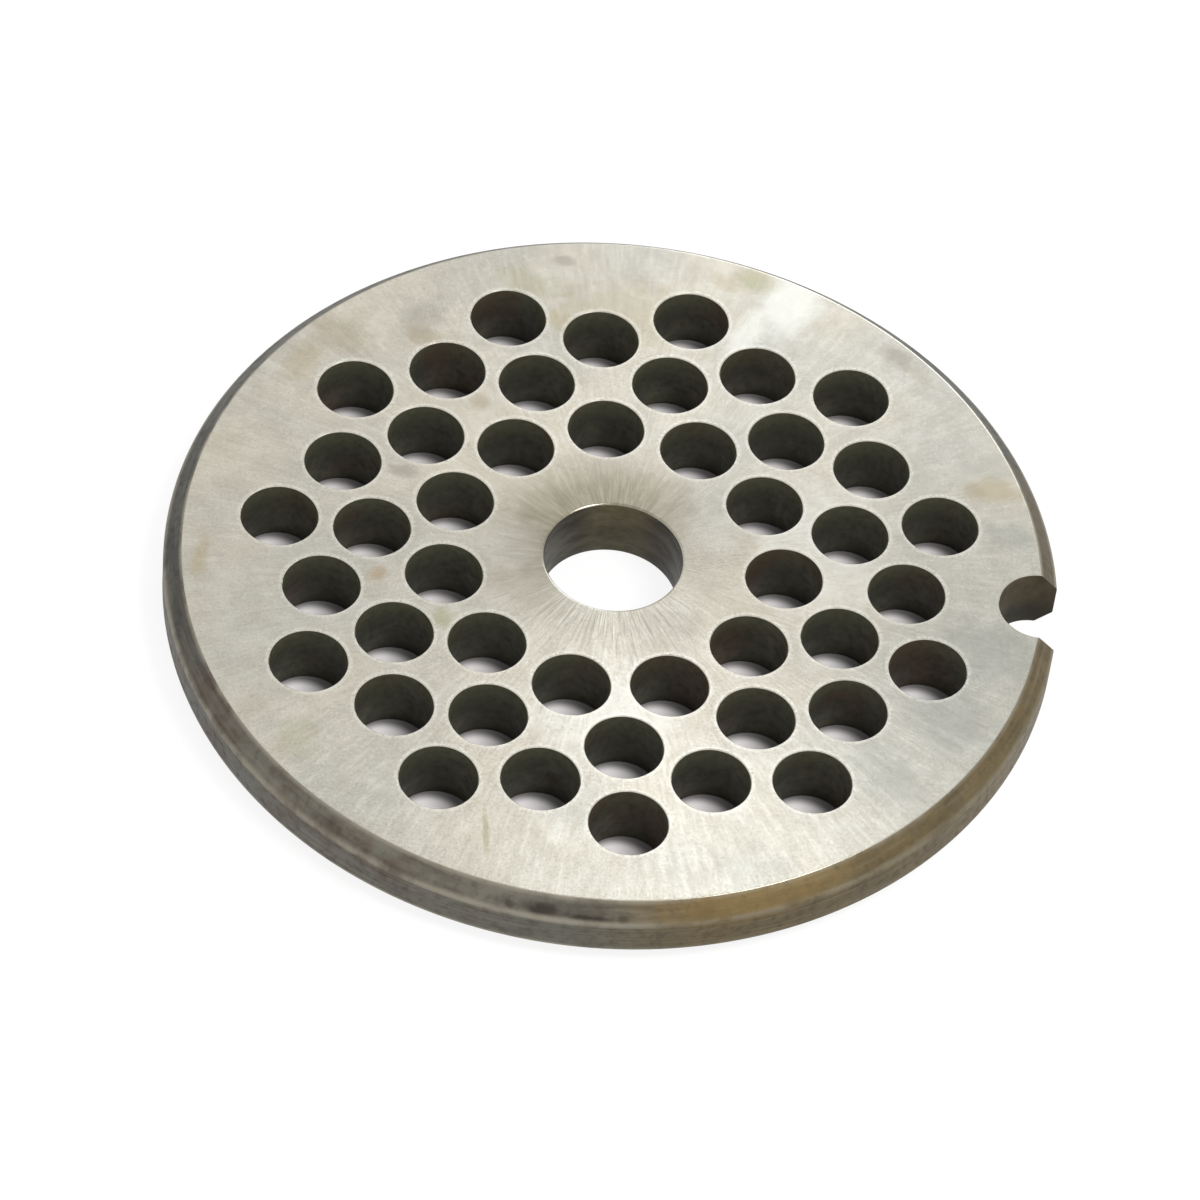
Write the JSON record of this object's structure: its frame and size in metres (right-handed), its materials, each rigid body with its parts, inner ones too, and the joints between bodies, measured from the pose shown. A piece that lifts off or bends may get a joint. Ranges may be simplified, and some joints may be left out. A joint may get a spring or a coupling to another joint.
{
  "type": "meat grinder plate",
  "caption": "Flat round steel plate with staggered rings of drilled holes, a centre bore, bevelled rim and a locating notch, for a meat grinder.",
  "frame": {"origin": "on the bore's axis, in the lower face", "axes": "+Z along the bore axis out of the upper face, +X through the middle of the locating notch"},
  "size_m": [0.0699, 0.07, 0.0056],
  "materials": {
    "ground_steel": "faces ground bright with fine radial and turned marks and faint stains, rim and holes left dark and dull"
  },
  "bodies": {
    "root": {"grinder_plate": "ground_steel"}
  },
  "joints": []
}
